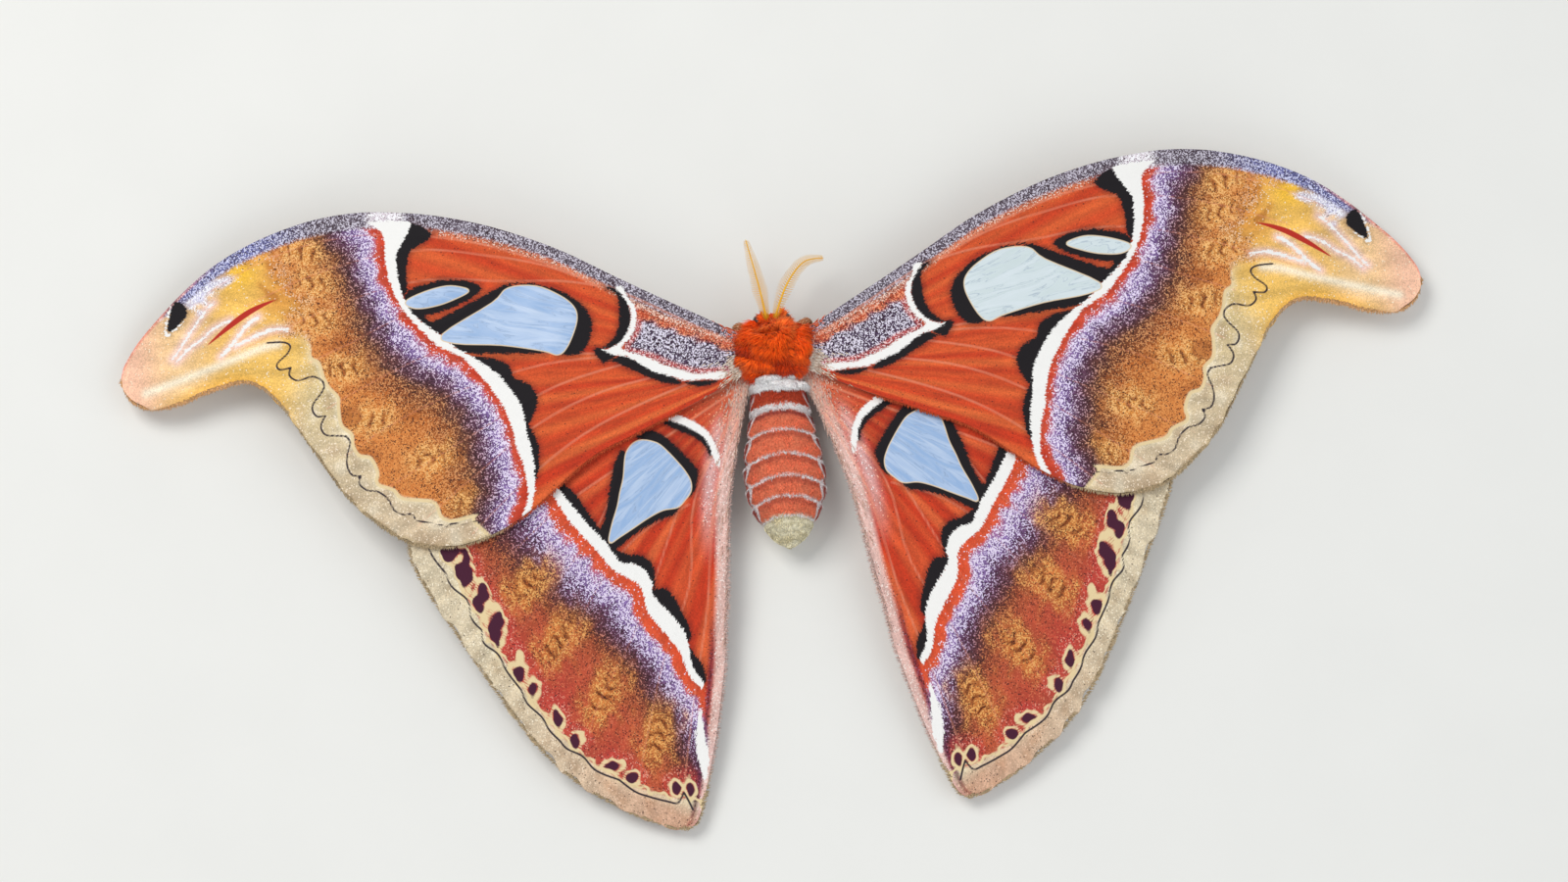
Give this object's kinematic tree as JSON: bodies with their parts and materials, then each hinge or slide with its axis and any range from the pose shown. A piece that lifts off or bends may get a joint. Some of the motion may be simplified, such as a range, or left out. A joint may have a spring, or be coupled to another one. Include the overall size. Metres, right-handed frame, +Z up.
{
  "type": "atlas moth",
  "caption": "Large atlas moth at rest with spread rust-red wings that bear clear windows and hooked tips, a furry body and feathery antennae.",
  "frame": {"origin": "middle of the outline on the surface that the feet stand on", "axes": "head towards -Y, back up along +Z, the moth's own left wings towards +X"},
  "size_m": [0.2424, 0.1182, 0.0153],
  "materials": {
    "orange_fur": "dense soft fur of fine scales, orange red",
    "abdomen_velvet": "short velvet pile with pale rings",
    "wing_scales": "matt dusty scales in bands, with smooth pale windows",
    "amber_feeler": "matt amber chitin, feathery",
    "leg_fur": "short brown fur",
    "dark_eye": "glossy dark compound eye"
  },
  "bodies": {
    "root": {"head": "orange_fur", "thorax": "orange_fur", "abdomen": "abdomen_velvet", "eye_left": "dark_eye", "palp_left": "orange_fur", "antenna_left": "amber_feeler", "forewing_left": "wing_scales", "hindwing_left": "wing_scales", "leg_front_left": "leg_fur", "leg_middle_left": "leg_fur", "leg_hind_left": "leg_fur", "eye_right": "dark_eye", "palp_right": "orange_fur", "antenna_right": "amber_feeler", "forewing_right": "wing_scales", "hindwing_right": "wing_scales", "leg_front_right": "leg_fur", "leg_middle_right": "leg_fur", "leg_hind_right": "leg_fur"}
  },
  "joints": []
}
